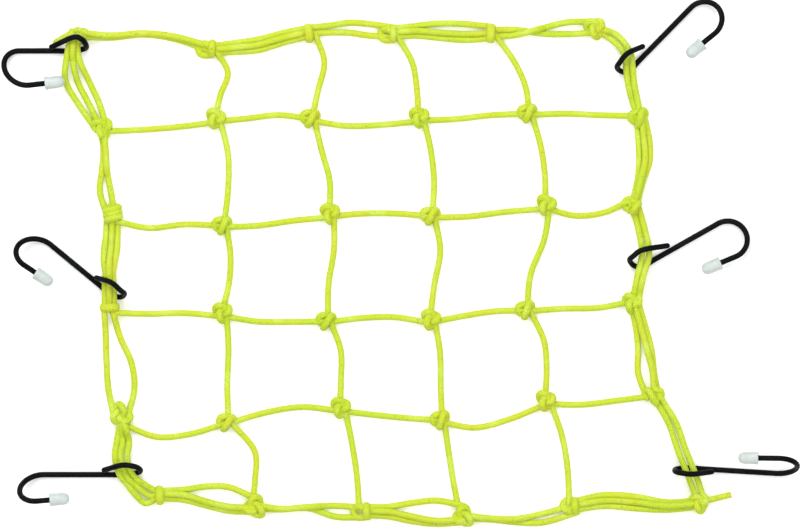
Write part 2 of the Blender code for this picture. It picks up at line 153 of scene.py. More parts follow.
def braided_polyester_cover():
    material, tree = bare_material("braided_polyester_cover")
    # The braid follows the cord: yarns run both ways round it, and cross in diamonds
    cord = add_node(tree, "ShaderNodeUVMap", uv_map="along_and_round")
    way = add_node(tree, "ShaderNodeSeparateXYZ", {0: cord.outputs[0]})
    math_node = "ShaderNodeMath"
    along = add_node(tree, math_node, {0: way.outputs["X"], 1: PLAIT_LENGTH}, operation="DIVIDE")
    around = add_node(tree, math_node, {0: way.outputs["Y"], 1: PLAITS_ROUND}, operation="MULTIPLY")
    both = {0: along.outputs[0], 1: around.outputs[0]}
    right = add_node(tree, math_node, both, operation="ADD")
    left = add_node(tree, math_node, both, operation="SUBTRACT")
    right_yarn = add_node(tree, math_node, {0: right.outputs[0], 1: 0.5}, operation="PINGPONG")
    left_yarn = add_node(tree, math_node, {0: left.outputs[0], 1: 0.5}, operation="PINGPONG")
    yarns = {0: right_yarn.outputs[0], 1: left_yarn.outputs[0]}
    crossing = add_node(tree, math_node, yarns, operation="MULTIPLY")
    plait = add_node(tree, math_node, {0: crossing.outputs[0], 1: 0.5}, operation="POWER")
    # Patches along the cord where the cover is stretched paler or warmer
    place = add_node(tree, "ShaderNodeTexCoord")
    patches = add_node(
        tree, "ShaderNodeTexNoise",
        {"Vector": place.outputs["Object"], "Scale": 1 / PATCH_SIZE, "Detail": 2.0},
    )
    stretched = add_node(
        tree, "ShaderNodeMapRange", {"Value": patches.outputs[0], "From Min": 0.38, "From Max": 0.62}
    )
    dyed = add_node(
        tree, "ShaderNodeMix",
        {0: stretched.outputs[0], 6: linear(YARN_MAIN), 7: linear(YARN_WARM)}, data_type="RGBA",
    )
    # Painted highlights: small patches at random along the cord, mixed towards a paler yellow
    painted_highlight_noise = add_node(
        tree, "ShaderNodeTexNoise",
        {"Vector": place.outputs["Object"], "Scale": 1 / PAINTED_HIGHLIGHT_SIZE, "Detail": 3.0},
    )
    painted_highlight_mask = add_node(
        tree, "ShaderNodeMapRange", {"Value": painted_highlight_noise.outputs[0], "From Min": 0.5, "From Max": 0.68}
    )
    with_painted_highlights = add_node(
        tree, "ShaderNodeMix",
        {0: painted_highlight_mask.outputs[0], 6: dyed.outputs[2], 7: linear(YARN_PAINTED_HIGHLIGHT)}, data_type="RGBA",
    )
    # Painted shade in the gaps between the yarns, and a few dark ticks where a yarn has parted
    painted_gap_shade = add_node(
        tree, "ShaderNodeMapRange",
        {"Value": plait.outputs[0], "From Min": 0.0, "From Max": 0.22, "To Min": 0.55, "To Max": 0.0},
    )
    ticks = add_node(
        tree, "ShaderNodeTexNoise",
        {"Vector": place.outputs["Object"], "Scale": 1 / TICK_SIZE, "Detail": 1.0},
    )
    tick = add_node(
        tree, "ShaderNodeMapRange",
        {"Value": ticks.outputs[0], "From Min": 0.6, "From Max": 0.7, "To Max": 0.6},
    )
    # The painted gap shade and the ticks darken the colour towards the same olive
    gap_shade_and_tick_masks = {0: painted_gap_shade.outputs[0], 1: tick.outputs[0]}
    gap_shade_and_ticks = add_node(tree, math_node, gap_shade_and_tick_masks, operation="MAXIMUM")
    colour = add_node(
        tree, "ShaderNodeMix",
        {0: gap_shade_and_ticks.outputs[0], 6: with_painted_highlights.outputs[2], 7: linear(YARN_GAP_SHADE_AND_TICKS)}, data_type="RGBA",
    )
    relief = add_node(
        tree, "ShaderNodeBump", {"Strength": 0.7, "Distance": BRAID_RELIEF, "Height": plait.outputs[0]}
    )
    shader = add_node(
        tree, "ShaderNodeBsdfPrincipled",
        {
            "Base Color": colour.outputs[2],
            "Roughness": 0.65,
            "IOR": 1.5,
            "Specular IOR Level": 0.2,
            "Sheen Weight": 0.05,
            "Sheen Roughness": 0.45,
            "Sheen Tint": linear(YARN_SHEEN),
            "Normal": relief.outputs[0],
        },
    )
    add_node(tree, "ShaderNodeOutputMaterial", {"Surface": shader.outputs[0]})
    return material


def smooth_through(points, steps):
    """Points at even steps on a smooth curve through the given ones."""
    ends = [2 * points[0] - points[1], *points, 2 * points[-1] - points[-2]]
    spans = len(points) - 1
    found = []
    for step in range(steps + 1):
        at = step * spans / steps
        span = min(int(at), spans - 1)
        before, start, end, after = ends[span : span + 4]
        t = at - span
        found.append(
            0.5
            * (
                2 * start
                + (end - before) * t
                + (2 * before - 5 * start + 4 * end - after) * t**2
                + (3 * start - before - 3 * end + after) * t**3
            )
        )
    return found


def ease(share):
    """A share from 0 to 1 that starts and stops gently."""
    share = max(0.0, min(1.0, share))
    return share * share * (3 - 2 * share)


def knot_at(row, column):
    """The middle of a knot, in metres."""
    return Vector(KNOT_ROWS[row][column]) * MM


def on_edge(row, column):
    return row in (0, ROW_LAST) or column in (0, COLUMN_LAST)


def tied(row, column):
    """Which of the two ways this crossing knot is tied in."""
    return WOUND if (row + column) % 2 == 0 else TUCKED


def goes_in(row, column, aside, way):
    """Where a single strand goes into its knot."""
    if on_edge(row, column):
        return knot_at(row, column) + Vector(GOES_IN[row, column]) * MM
    return knot_at(row, column) + aside * (tied(row, column)[way] * MM)


def bowed(line, ends, offsets, aside):
    """A strand's plan between its ends, through its offsets from the line at even shares of it."""
    inner = [
        line[0].lerp(line[1], share / (len(offsets) + 1)) + aside * (offset * MM)
        for share, offset in enumerate(offsets, start=1)
    ]
    return smooth_through([ends[0], *inner, ends[1]], STRAND_STEPS)


def hook_lift(point):
    """How far a strand is held up where a hook's wire passes under it."""
    near = min((point - Vector(foot) * MM).length for foot in HOOK_FEET)
    return HOOK_LIFT * (1 - ease((near - LIFT_FLAT) / LIFT_SLOPE))


def laid(plans, lifted=True):
    """Heights for the strands of one bundle: a strand rides up on any that it lies over."""
    routes = []
    for plan in plans:
        route = []
        for step, point in enumerate(plan):
            height = CORD_RADIUS + (hook_lift(point) if lifted else 0)
            for below in routes:
                apart = (below[step].xy - point).length
                if apart < 2 * CORD_RADIUS:
                    riding = math.sqrt((2 * CORD_RADIUS) ** 2 - apart**2)
                    height = max(height, below[step].z + riding)
            route.append(Vector((point.x, point.y, height)))
        routes.append(route)
    return routes


def drawn_into_knots(route, last=True):
    """The route with its start, and its other end if that is tied too, drawn up into the knots."""
    held_ends = (route[0], route[-1]) if last else (route[0],)
    drawn = []
    for point in route:
        height = point.z
        for end in held_ends:
            near = 1 - ease((point.xy - end.xy).length / KNOT_REACH)
            height += (KNOT_MIDDLE - height) * near
        drawn.append(Vector((point.x, point.y, height)))
    return drawn


def add_tube(bm, layer, route, radius, sides, domed=False):
    """A closed round tube along the route, with the way along it, in millimetres, and round it,
    from 0 to 1, in its UV map."""
    before, after = [route[0], *route[:-1]], [*route[1:], route[-1]]
    ways = [(b - a).normalized() for a, b in zip(before, after)]
    stations = [(point, way, radius) for point, way in zip(route, ways)]
    if domed:
        for slope in DOME_SLOPES:
            beyond = radius * math.sin(math.radians(slope))
            narrowed = radius * math.cos(math.radians(slope))
            stations.insert(0, (route[0] - ways[0] * beyond, ways[0], narrowed))
            stations.append((route[-1] + ways[-1] * beyond, ways[-1], narrowed))
    side = ways[0].orthogonal().normalized()
    rings, lengths = [], [0.0]
    for n, (point, way, size) in enumerate(stations):
        side = (side - way * side.dot(way)).normalized()
        over = way.cross(side)
        if n:
            lengths.append(lengths[-1] + (point - stations[n - 1][0]).length / MM)
        turns = [2 * math.pi * turn / sides for turn in range(sides)]
        rings.append(
            [bm.verts.new(point + (side * math.cos(t) + over * math.sin(t)) * size) for t in turns]
        )
    for n in range(len(rings) - 1):
        for turn in range(sides):
            beside = (turn + 1) % sides
            near, far = rings[n], rings[n + 1]
            face = bm.faces.new((near[turn], near[beside], far[beside], far[turn]))
            face.smooth = True
            corners = ((n, turn), (n, turn + 1), (n + 1, turn + 1), (n + 1, turn))
            for loop, (ring, at) in zip(face.loops, corners):
                loop[layer].uv = (lengths[ring], at / sides)
    bm.faces.new(reversed(rings[0]))
    bm.faces.new(rings[-1])


def add_piece(name, bm, material, slot, *nodes):
    """The finished mesh as a piece that rides with the net, in place of these CAD nodes, which are hidden.
    """
    mesh = bpy.data.meshes.new(name)
    bm.to_mesh(mesh)
    bm.free()
    mesh.materials.append(material)
    piece = bpy.data.objects.new(name, mesh)
    bpy.context.scene.collection.objects.link(piece)
    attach(piece, "root")
    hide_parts(*nodes)


def add_cords(name, routes, domed=False, radius=CORD_RADIUS):
    """One piece of the net: a tube of braided cord along each route."""
    bm = bmesh.new()
    layer = bm.loops.layers.uv.new("along_and_round")
    for route in routes:
        add_tube(bm, layer, route, radius, CORD_SIDES, domed)
    add_piece(name, bm, cover, "elastic_cord", "net")


cover = braided_polyester_cover()
mesh_routes = []
for column, bows in enumerate(UPRIGHT_BOWS, start=1):
    aside = Vector((1, 0))
    for row, bow in enumerate(bows):
        line = knot_at(row, column), knot_at(row + 1, column)
        top_end = goes_in(row, column, aside, "upright_from")
        bottom_end = goes_in(row + 1, column, aside, "upright_to")
        plan = bowed(line, (top_end, bottom_end), bow, aside)
        mesh_routes.append(drawn_into_knots(laid([plan])[0]))
for row, bows in enumerate(CROSS_BOWS, start=1):
    aside = Vector((0, 1))
    for column, bow in enumerate(bows):
        line = knot_at(row, column), knot_at(row, column + 1)
        left_end = goes_in(row, column, aside, "cross_from")
        right_end = goes_in(row, column + 1, aside, "cross_to")
        plan = bowed(line, (left_end, right_end), bow, aside)
        mesh_routes.append(drawn_into_knots(laid([plan])[0]))
add_cords("mesh_strands", mesh_routes, domed=True)

# The edge of the net
# The same cord goes round the edge two or three times, side by side and a little crossed. It is
# slack here, so the strands lie apart in places, and they are held only at the edge knots.

# The braid spreads a little where strands press on each other
EDGE_RADIUS = 2.4 * MM

# The bundles, a row for each section between two knots. Each strand has its offset from the
# straight line, in millimetres, at even shares of it, from its start to its end. The outer
# strands come first, and a middle one lies on them.
TOP_EDGE = (
    ((-3.0, -0.2, 5.0, 4.2, -2.4), (0.5, 1.3, 5.8, 6.0, 1.2)),
    ((-3.0, -5.2, -6.6, -3.9, -2.0), (2.2, 1.4, 1.4, 3.4, 4.3), (-0.5, -1.9, -2.6, -0.2, 1.0)),
    ((-0.5, 0.8, 0.8, -1.1, -2.0), (4.2, 6.0, 8.4, 7.6, 5.0)),
    ((-2.5, -1.0, -2.9, -4.4, -3.0), (4.1, 6.2, 8.0, 7.5, 5.3), (1.0, 2.6, 1.0, 0.0, 0.5)),
    ((3.1, 1.9, -2.0, -3.5, -3.6), (-2.0, -1.9, 2.1, 5.4, 4.5)),
)
BOTTOM_EDGE = (
    ((-2.4, -1.4, -3.7, -5.6, -4.0), (3.0, 6.1, 10.6, 12.0, 6.0), (0.5, 2.4, -0.6, -2.4, -1.0)),
    ((-2.0, -1.5, 0.2, -5.2, -4.4), (2.0, -1.0, 1.4, 3.0, 2.3)),
    ((-3.0, -3.4, -6.4, -7.6, -5.5), (3.1, 3.9, 7.5, 9.8, 6.5), (0.0, 0.4, -2.8, -5.2, -3.0)),
    ((-3.0, -5.2, -8.9, -10.4, -4.5), (0.5, -4.3, -6.2, -3.8, 1.5)),
    ((-3.0, -0.6, -3.2, -4.9, -3.0), (3.5, 7.6, 5.6, 0.6, 1.6), (0.5, 3.5, 1.4, -1.8, -0.5)),
)
LEFT_EDGE = (
    ((-5.2, -13.4, -18.9, -13.6, -4.6), (-1.0, -4.8, -1.5, 2.3, 3.0), (-3.2, -9.0, -10.1, -5.6, -0.8)),
    ((-1.5, -1.2, -4.4, -7.7, -4.0), (1.0, 0.6, -0.4, 0.6, 1.5)),
    (
        (-4.0, -4.5, -4.8, -5.8, -5.6, -3.9, -4.1, -3.8, -3.8),
        (3.5, 3.8, 4.0, 4.0, 2.6, 1.4, 2.9, 2.8, 3.6),
        (-0.5, -0.4, -0.3, -0.8, -1.4, -1.2, -0.6, -0.4, -0.1),
    ),
    ((-4.0, -5.4, -7.0, -7.9, -6.0), (1.5, 5.1, 11.5, 11.6, 4.0)),
)
RIGHT_EDGE = (
    ((-2.5, 0.2, 2.2, 1.6, -1.5), (3.0, 8.4, 9.9, 5.8, 2.5), (1.0, 4.4, 6.4, 3.7, 0.5)),
    ((-2.0, 3.8, 6.0, 2.2, -2.0), (3.0, 8.6, 11.4, 6.4, 2.6)),
    ((-2.5, -2.8, -4.9, -8.9, -6.5), (3.0, 4.4, 5.1, 3.2, 2.4), (0.5, 0.8, 1.6, 2.0, -1.4)),
    ((-2.0, 1.4, -0.2, -0.8, -1.8), (3.0, 7.2, 5.7, 5.2, 3.4)),
)

# The two corners that the edge cord only bends round: points from knot to knot, in
# millimetres, a row for each strand.
TOP_RIGHT_BEND = (
    ((156.4, 169.4), (163.3, 163.6), (168.2, 155.6), (169.6, 145.0), (170.9, 134.0), (175.0, 119.0)),
    ((159.6, 173.0), (167.2, 166.6), (172.9, 157.0), (174.4, 145.0), (175.6, 134.0), (178.6, 119.0)),
)
BOTTOM_LEFT_BEND = (
    ((-212.2, -132.4), (-213.6, -145.1), (-210.2, -157.9), (-203.8, -166.0), (-197.8, -173.9),
     (-190.0, -179.8)),
    ((-207.9, -132.4), (-209.5, -145.1), (-205.8, -157.9), (-197.6, -166.8), (-188.0, -174.0)),
    ((-203.2, -132.4), (-204.4, -145.1), (-200.6, -157.9), (-192.4, -165.0), (-184.5, -169.9)),
)

# How far along the edge from a knot's place its band holds the strands, in millimetres, and how
# far they run on past there
BAND_ASIDE = {(0, 1): 2.3, (0, 3): 2.5, (5, 2): 1.8, (5, 4): 2.3, (3, 0): 1.75}
RUNS_PAST = 1.6 * MM


def held_at(row, column):
    """Where an edge knot holds the edge's strands together."""
    along = Vector((1, 0)) if row in (0, ROW_LAST) else Vector((0, 1))
    return knot_at(row, column) + along * (BAND_ASIDE.get((row, column), 0.0) * MM)


sections = []
for column in range(COLUMN_LAST):
    sections.append(((0, column), (0, column + 1), TOP_EDGE[column]))
    sections.append(((ROW_LAST, column), (ROW_LAST, column + 1), BOTTOM_EDGE[column]))
for row in range(ROW_LAST - 1):
    sections.append(((row, 0), (row + 1, 0), LEFT_EDGE[row]))
    sections.append(((row + 1, COLUMN_LAST), (row + 2, COLUMN_LAST), RIGHT_EDGE[row]))
edge_routes = []
for first, last, strands in sections:
    aside = Vector((0, 1)) if first[0] == last[0] else Vector((1, 0))
    line = knot_at(*first), knot_at(*last)
    past = (line[1] - line[0]).normalized() * RUNS_PAST
    plans = []
    for start, *bow, end in strands:
        near_end = held_at(*first) + aside * (start * MM) - past
        far_end = held_at(*last) + aside * (end * MM) + past
        plans.append(bowed(line, (near_end, far_end), bow, aside))
    edge_routes += [drawn_into_knots(route) for route in laid(plans)]
for bend, first, last in (
    (TOP_RIGHT_BEND, (0, COLUMN_LAST), (1, COLUMN_LAST)),
    (BOTTOM_LEFT_BEND, (ROW_LAST - 1, 0), (ROW_LAST, 0)),
):
    plans = []
    for points in bend:
        bent = [Vector(point) * MM for point in points]
        plans.append(smooth_through([knot_at(*first), *bent, knot_at(*last)], STRAND_STEPS))
    edge_routes += [drawn_into_knots(route) for route in laid(plans)]
add_cords("edge_strands", edge_routes, domed=True, radius=EDGE_RADIUS)

# The loose ends
# At one corner the cord turns back in a small bight over the edge knot. At the far corner its end
# sticks out: it is cut square and melted so that the cover doesn't fray.

# Points along them, in millimetres
CORNER_BIGHT = ((-236.0, 173.0), (-243.0, 174.4), (-250.5, 170.4), (-258.0, 166.0))
CUT_END = ((225.0, -178.9), (236.0, -176.2), (248.2, -173.2))

bight = smooth_through([Vector(point) * MM for point in CORNER_BIGHT], STRAND_STEPS)
cut = smooth_through([Vector(point) * MM for point in CUT_END], STRAND_STEPS)
add_cords("corner_bight", [drawn_into_knots(laid([bight], lifted=False)[0], last=False)], domed=True)
add_cords("cut_end", [drawn_into_knots(laid([cut])[0], last=False)])

# The crossing knots
# Where two strands cross they are tied together in one overhand knot, pulled tight so that the
# soft cord squeezes. Three lobes show, and one turn lies over the rest like a bean.

# Each way of tying as points along the cord, in millimetres from the knot's middle. Each starts
# and ends under a crossing, where its join doesn't show.
WOUND_KNOT = (
    (-4.0, 0.2, 2.8), (-5.0, 3.4, 4.6), (-2.2, 5.2, 7.2), (1.6, 3.0, 5.6), (2.8, -2.8, 3.0),
    (-0.6, -6.4, 4.4), (-2.4, -3.8, 8.2), (-1.8, 0.6, 6.8), (1.6, 3.6, 2.9), (5.2, 2.6, 4.6),
    (4.6, -0.6, 7.0), (0.4, -2.2, 4.6), (-4.0, 0.2, 2.8),
)
TUCKED_KNOT = (
    (1.2, -0.4, 3.4), (-3.0, -2.6, 3.2), (-5.2, -0.6, 4.0), (-4.8, 2.6, 5.2), (-1.9, 3.9, 5.8),
    (1.6, 3.4, 4.4), (4.0, 0.6, 3.0), (5.4, 2.2, 3.6), (4.4, 4.1, 5.6), (2.6, 3.0, 8.0),
    (0.8, -1.0, 8.6), (-0.8, -4.4, 7.0), (-1.2, -5.5, 4.2), (0.4, -3.6, 2.8),
)
# The cord swells where a knot grips it
KNOT_RADIUS = 2.65 * MM
KNOT_STEPS = 84
# No two crossing knots lie alike: each is turned by up to this many degrees, more or less of it
# by a wave over the rows and columns.
KNOT_SWAY = 8.0
SWAY_BY_ROW = 2.3
SWAY_BY_COLUMN = 1.7


def knotted(points, middle, turn=0.0, size=1.0, hand=1):
    """The cord's route through a knot: its points turned, sized and, for hand -1, mirrored."""
    spin = Matrix.Rotation(math.radians(turn), 3, "Z")
    placed = [spin @ Vector((x * hand * size, y * size, z)) for x, y, z in points]
    return smooth_through([p * MM + middle.to_3d() for p in placed], KNOT_STEPS)


knot_routes = []
for row in range(1, ROW_LAST):
    for column in range(1, COLUMN_LAST):
        points = WOUND_KNOT if tied(row, column) is WOUND else TUCKED_KNOT
        sway = KNOT_SWAY * math.sin(SWAY_BY_ROW * row + SWAY_BY_COLUMN * column)
        knot_routes.append(knotted(points, knot_at(row, column), sway))
add_cords("crossing_knots", knot_routes, domed=True, radius=KNOT_RADIUS)

# The edge knots
# Each single strand is tied round the edge bundle, by hand and so never twice the same: as a
# flat band with a loop beside it, as a band of two turns, or as a knot like the inner ones.

# A band with a loop: along the edge from the band, across it, and up, in millimetres
LOOPED_KNOT = (
    (2.4, -2.6, 3.6), (2.0, 0.0, 2.8), (0.8, 4.0, 3.9), (0.1, 4.1, 7.2), (0.0, 0.0, 9.4),
    (0.0, -4.2, 7.4), (-0.8, -4.6, 4.3), (-4.4, -4.8, 3.0), (-8.2, -4.0, 2.8), (-10.2, -0.4, 2.8),
    (-8.8, 2.6, 3.6), (-5.4, 3.9, 5.8), (-2.4, 2.4, 6.6), (-0.4, 0.0, 5.4),
)
# A band of turns side by side: how far the turns stand out across the edge, and up from a middle
BAND_STEPS = 8
BAND_ACROSS = 4.6
BAND_MIDDLE = 5.9
BAND_UP = 3.1
BAND_START = -60.0


def banded(turns, wide):
    """A band of turns, as points from one end of its width along the edge to the other."""
    steps = BAND_STEPS * turns
    angles = [math.radians(BAND_START + 360 * turns * step / steps) for step in range(steps + 1)]
    wound = [
        (wide * (step / steps - 0.5), BAND_ACROSS * math.cos(t), BAND_MIDDLE + BAND_UP * math.sin(t))
        for step, t in enumerate(angles)
    ]
    return ((0.0, 0.0, BAND_MIDDLE), *wound, (0.0, 0.0, BAND_MIDDLE))


TWO_TURNS = banded(turns=2, wide=2.2)
THREE_TURNS = banded(turns=3, wide=9.0)

# row, column: form, its middle from the knot's place, turn in degrees, size and hand
EDGE_KNOTS = {
    (0, 0): (WOUND_KNOT, (1.2, -1.4), 10.0, 0.75, 1),
    (0, 1): (LOOPED_KNOT, (2.3, 0.0), 0.0, 1.0, 1),
    (0, 2): (TWO_TURNS, (0.0, 0.0), 4.0, 1.05, 1),
    (0, 3): (LOOPED_KNOT, (2.5, 0.0), -2.0, 0.95, 1),
    (0, 4): (TWO_TURNS, (0.2, 0.2), -6.0, 1.05, 1),
    (0, 5): (WOUND_KNOT, (0.5, 0.0), 20.0, 1.1, 1),
    (1, 0): (WOUND_KNOT, (0.0, 0.0), 20.0, 1.1, 1),
    (2, 0): (THREE_TURNS, (0.0, 0.6), 98.0, 1.1, 1),
    (3, 0): (TWO_TURNS, (0.0, 1.75), 90.0, 1.1, 1),
    (4, 0): (WOUND_KNOT, (-0.6, 0.6), 200.0, 1.2, 1),
    (1, 5): (TUCKED_KNOT, (-0.8, -0.4), 10.0, 1.05, 1),
    (2, 5): (LOOPED_KNOT, (1.6, -1.8), -32.0, 0.85, 1),
    (3, 5): (WOUND_KNOT, (-1.6, 0.2), 0.0, 1.0, 1),
    (4, 5): (TUCKED_KNOT, (-1.2, 0.4), 6.0, 1.1, -1),
    (5, 0): (TWO_TURNS, (0.0, 0.0), 0.0, 1.05, 1),
    (5, 1): (WOUND_KNOT, (1.6, -0.4), 32.0, 1.2, -1),
    (5, 2): (LOOPED_KNOT, (1.8, 0.0), 3.0, 0.95, 1),
    (5, 3): (WOUND_KNOT, (1.0, -1.2), 40.0, 1.12, -1),
    (5, 4): (LOOPED_KNOT, (2.1, 0.0), 180.0, 0.9, -1),
    (5, 5): (WOUND_KNOT, (-0.8, -0.3), 18.0, 1.0, 1),
}

edge_knot_routes = []
for place, (points, aside, turn, size, hand) in EDGE_KNOTS.items():
    middle = knot_at(*place) + Vector(aside) * MM
    edge_knot_routes.append(knotted(points, middle, turn, size, hand))
add_cords("edge_knots", edge_knot_routes, domed=True, radius=KNOT_RADIUS)

# The hooks
# Each hook is bent from one steel wire: an open eye round the edge bundle, a straight shank, and
# a crook at the free end. The wire was dipped in vinyl, which sets as a smooth black skin.

WIRE_RADIUS = 2.1 * MM
WIRE_SIDES = 16
HOOK_COLUMNS = ("heading", "shank", "leg", "curl", "roll", "lean", "end", "over", "bend", "top")
# A row for each foot, where the shank passes under the bundle. heading: of the shank, in degrees
# from +X. shank and leg: straight lengths beside the crook. curl: 1 turns left, -1 right. roll:
# how far the crook stands up, in degrees. lean: how far the crook slants on along the shank, as
# a share of how far it has gone aside. end, over, bend: along and aside of the foot, for the
# wire's free end, its pass over the bundle and its inner bend. top: height of that pass.
HOOK_ROWS = (
    (180.0, 39.2, 11.7, 1, 23.5, -0.21, (15.0, -2.8), (-1.6, -9.8), (-11.0, -3.8), 16.0),
    (140.5, 58.2, 10.1, 1, 32.0, 0.24, (15.6, -2.8), (4.8, -7.4), (-8.2, -7.0), 18.4),
    (180.0, 60.1, 9.4, 1, 47.2, 0.21, (14.6, -3.6), (1.0, -7.4), (-12.4, -4.0), 16.6),
    (45.7, 66.1, 11.5, -1, 22.0, 0.0, (19.9, 5.6), (8.0, 10.0), (-4.8, 8.2), 16.4),
    (29.5, 65.4, 12.4, -1, 8.0, 0.04, (24.0, 4.4), (6.2, 10.8), (-5.8, 8.8), 14.4),
    (-3.5, 65.0, 14.8, 1, 65.0, 0.06, (16.8, -1.6), (2.4, -4.0), (-10.6, -2.8), 16.4),
)
# The crook's bend, in millimetres and degrees
CROOK_RADIUS = 14.2
CROOK_TURN = 187.0
CROOK_STEPS = 40
EYE_STEPS = 14
# The eye's outer shoulder lies this share of the way from its pass over the bundle to its
# inner bend, along and aside, and at this share of its top height. From the bend the wire comes
# down to the floor just short of it, and runs on level under the bundle.
SHOULDER_ALONG = 0.7
SHOULDER_ASIDE = 0.3
SHOULDER_HEIGHT = 0.92
LANDING_ALONG = 0.86
LANDING_ASIDE = 0.42
# In millimetres: how far the landing is above the level run, the free end clear above the shank,
# and the level run on past the foot; the depth of the cap's bore, and the gap at its bottom.
LANDING_HEIGHT = 0.6
FREE_END_CLEAR = 0.8
LEVEL_RUN = 12.0
CAP_DEPTH = 12.0
CAP_END_GAP = 0.4

# Dip-moulded vinyl: a soft satin black, faintly blue, with slow runs and a few scuffed patches
VINYL_BLACK = "#0A0C0F"
VINYL_SCUFFED = "#14181B"
SCUFF_SIZE = 9 * MM
RUN_SIZE = 4 * MM
RUN_RELIEF = 0.2 * MM


def dipped_vinyl():
    material, tree = bare_material("dipped_vinyl")
    place = add_node(tree, "ShaderNodeTexCoord")
    scuffs = add_node(
        tree, "ShaderNodeTexNoise",
        {"Vector": place.outputs["Object"], "Scale": 1 / SCUFF_SIZE, "Detail": 4.0},
    )
    scuffed = add_node(
        tree, "ShaderNodeMapRange", {"Value": scuffs.outputs[0], "From Min": 0.45, "From Max": 0.75}
    )
    colour = add_node(
        tree, "ShaderNodeMix",
        {0: scuffed.outputs[0], 6: linear(VINYL_BLACK), 7: linear(VINYL_SCUFFED)}, data_type="RGBA",
    )
    gloss = add_node(
        tree, "ShaderNodeMapRange",
        {"Value": scuffs.outputs[0], "From Min": 0.3, "From Max": 0.7, "To Min": 0.34, "To Max": 0.5},
    )
    runs = add_node(
        tree, "ShaderNodeTexNoise",
        {"Vector": place.outputs["Object"], "Scale": 1 / RUN_SIZE, "Detail": 2.0},
    )
    relief = add_node(
        tree, "ShaderNodeBump", {"Strength": 0.25, "Distance": RUN_RELIEF, "Height": runs.outputs[0]}
    )
    shader = add_node(
        tree, "ShaderNodeBsdfPrincipled",
        {
            "Base Color": colour.outputs[2],
            "Roughness": gloss.outputs[0],
            "IOR": 1.5,
            "Specular IOR Level": 0.045,
            "Normal": relief.outputs[0],
        },
    )
    add_node(tree, "ShaderNodeOutputMaterial", {"Surface": shader.outputs[0]})
    return material


def hook_route(place, hook):
    """The wire's middle line, from the free end of its eye to the end inside the cap."""
    heading = math.radians(hook["heading"])
    along = Vector((math.cos(heading), math.sin(heading), 0))
    left = Vector((-along.y, along.x, 0))
    wire = WIRE_RADIUS / MM
    foot = Vector((*place, wire))

    def near_foot(ahead, aside, height):
        return foot + along * ahead + left * aside + Vector((0, 0, height - foot.z))

    low, top = foot.z, hook["top"]
    end, end_aside = hook["end"]
    over, over_aside = hook["over"]
    bend, bend_aside = hook["bend"]
    eye = [
        near_foot(end, end_aside, low + 2 * wire + FREE_END_CLEAR),
        near_foot(over, over_aside, top),
        near_foot(
            over + (bend - over) * SHOULDER_ALONG,
            over_aside + (bend_aside - over_aside) * SHOULDER_ASIDE,
            top * SHOULDER_HEIGHT,
        ),
        near_foot(bend, bend_aside, (top + low) / 2),
        near_foot(bend * LANDING_ALONG, bend_aside * LANDING_ASIDE, low + LANDING_HEIGHT),
        near_foot(0, 0, low),
        near_foot(LEVEL_RUN, 0, low),
    ]
    route = smooth_through(eye, EYE_STEPS * (len(eye) - 1))
    for point in route:
        point.z = max(point.z, low)
    route.append(near_foot(hook["shank"] / 2, 0, low))
    roll = math.radians(hook["roll"])
    side = left * (hook["curl"] * math.cos(roll)) + Vector((0, 0, math.sin(roll)))
    start = near_foot(hook["shank"], 0, low)
    for step in range(CROOK_STEPS + 1):
        angle = math.radians(CROOK_TURN) * step / CROOK_STEPS
        aside = CROOK_RADIUS * (1 - math.cos(angle))
        ahead = CROOK_RADIUS * math.sin(angle) + hook["lean"] * aside
        route.append(start + along * ahead + side * aside)
    back = along * (math.cos(angle) + hook["lean"] * math.sin(angle)) + side * math.sin(angle)
    back.normalize()
    mouth = route[-1] + back * hook["leg"]
    route += [mouth, mouth + back * (CAP_DEPTH - CAP_END_GAP)]
    return [point * MM for point in route], mouth * MM, back


vinyl = dipped_vinyl()
cap_places = []
for number, (place, row) in enumerate(zip(HOOK_FEET, HOOK_ROWS), start=1):
    route, mouth, back = hook_route(place, dict(zip(HOOK_COLUMNS, row)))
    bm = bmesh.new()
    layer = bm.loops.layers.uv.new("along_and_round")
    add_tube(bm, layer, route, WIRE_RADIUS, WIRE_SIDES, domed=True)
    add_piece(f"wire_hook_{number}", bm, vinyl, "coated_wire", f"hook_{number}")
    cap_places.append((mouth, back))

# The soft caps
# A thimble of soft clear vinyl is pushed over each hook's free end, so that it doesn't scratch
# paint. It is dip-moulded too, frosted, with a rolled lip at its mouth and a round closed end.

# The outside from the mouth of the bore to the tip: radius and depth, in millimetres
CAP_BORE = 2.45
CAP_PROFILE = (
    (CAP_BORE, 0.0), (4.0, -0.1), (4.8, 0.1), (5.05, 0.7), (5.0, 1.5), (4.82, 2.2), (4.72, 3.2),
    (4.68, 6.5), (4.6, 10.0), (4.45, 11.4), (4.1, 12.6), (3.5, 13.6), (2.5, 14.5), (1.3, 15.0),
    (0.0, 15.2),
)
CAP_SIDES = 36

# Plasticised vinyl: milky white with a cool green cast, soft and waxy, so that light goes a
# little way in; its surface is faintly uneven from the mould.
CAP_MILKY = "#D4DAD7"
CAP_SHADE = "#B2BEB9"
CLOUD_SIZE = 5 * MM
MOULD_RELIEF = 0.4 * MM
LIGHT_REACH = 1.5 * MM


